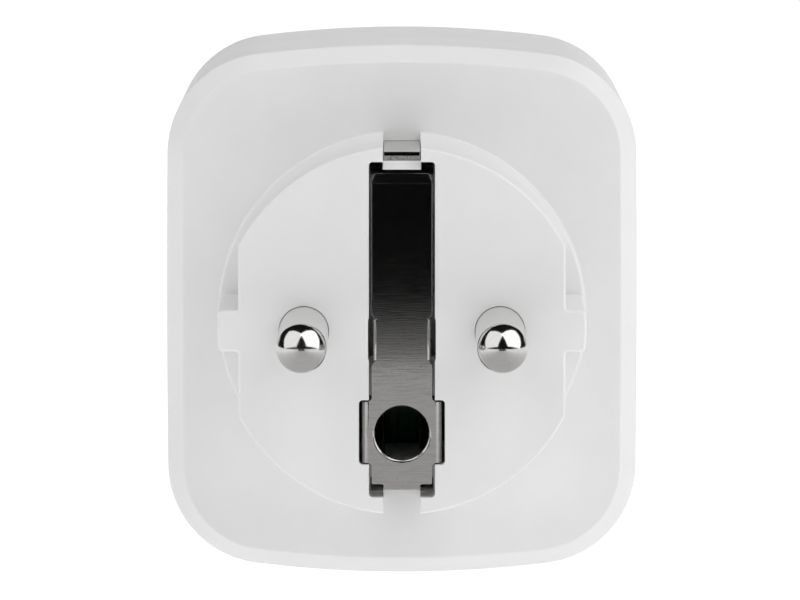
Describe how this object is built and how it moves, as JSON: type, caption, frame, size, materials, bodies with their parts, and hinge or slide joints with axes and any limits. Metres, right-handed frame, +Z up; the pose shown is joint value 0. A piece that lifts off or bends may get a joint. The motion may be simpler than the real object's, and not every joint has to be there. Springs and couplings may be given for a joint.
{
  "type": "plug in power meter",
  "caption": "Compact metering wall adaptor: a round two-pin plug with side earth contacts behind, a recessed earthed socket and a push button in front.",
  "frame": {"origin": "midway between the two pins, on the flat end of the plug that seats in the wall socket", "axes": "-Y out along the pins into the wall socket, +X across the two pins, +Z up"},
  "size_m": [0.0468, 0.0744, 0.0526],
  "materials": {
    "white_plastic": "fine satin moulded surface",
    "nickel_plate": "bright nickel plating, satin on the stamped strips",
    "spring_steel": "plain rolled steel",
    "brass": "rolled",
    "copper": "copper winding and resistance strip",
    "circuit_board": "green solder mask",
    "black_plastic": "moulded",
    "relay_plastic": "moulded",
    "capacitor_sleeve": "shrunk sleeve",
    "film_capacitor_box": "moulded box",
    "varistor_coat": "dipped coat",
    "resistor_coat": "dipped coat",
    "light_guide": "clear moulding"
  },
  "bodies": {
    "meter": {"board_screw_1": "spring_steel", "board_screw_2": "spring_steel", "board_screw_3": "spring_steel", "bridge_rectifier": "black_plastic", "bulk_capacitor_1": "capacitor_sleeve", "bulk_capacitor_2": "capacitor_sleeve", "choke": "black_plastic", "current_shunt": "copper", "earth_bar": "nickel_plate", "film_capacitor": "film_capacitor_box", "front_housing": "white_plastic", "fuse_resistor": "resistor_coat", "light_ring": "light_guide", "live_contact": "brass", "live_link": "brass", "live_pin": "nickel_plate", "lower_earth_clip": "spring_steel", "lower_earth_rivet": "brass", "main_board": "circuit_board", "metering_chip": "black_plastic", "neutral_contact": "brass", "neutral_link": "brass", "neutral_pin": "nickel_plate", "radio_board": "circuit_board", "radio_shield": "nickel_plate", "rear_housing": "white_plastic", "relay_base": "black_plastic", "relay_coil": "copper", "relay_cover": "relay_plastic", "relay_fixed_contact": "brass", "relay_yoke": "spring_steel", "shutter_carrier": "white_plastic", "shutter_spring": "spring_steel", "status_led": "light_guide", "supply_chip": "black_plastic", "switch_body": "black_plastic", "upper_earth_clip": "spring_steel", "upper_earth_rivet": "brass", "upper_side_contact": "nickel_plate", "varistor": "varistor_coat"},
    "button_cap": {"power_button": "white_plastic"},
    "plunger": {"switch_plunger": "black_plastic"},
    "shutter_bar": {"shutter": "white_plastic"},
    "armature": {"relay_armature": "spring_steel"}
  },
  "joints": [
    {"name": "power_button_press", "type": "slide", "parent": "meter", "child": "button_cap", "axis": [0, -1, 0], "range_m": [0, 0.0005], "stiffness_N_per_m": 600},
    {"name": "switch_plunger_press", "type": "slide", "parent": "meter", "child": "plunger", "axis": [0, -1, 0], "range_m": [0, 0.0005]},
    {"name": "shutter_slide", "type": "slide", "parent": "meter", "child": "shutter_bar", "axis": [0, 0, -1], "range_m": [0, 0.0062], "stiffness_N_per_m": 60, "springref_m": -0.002, "deforming": ["shutter_spring"]},
    {"name": "relay_armature_tilt", "type": "hinge", "parent": "meter", "child": "armature", "pos_m": [-0.0005, 0.03135, 0.0109], "axis": [0, 0, -1], "range_deg": [0, 4.3], "stiffness_Nm_per_rad": 0.02, "springref_deg": -5.73}
  ],
  "couplings": [
    {"joint": "switch_plunger_press", "follows": "power_button_press", "ratio": 1}
  ]
}
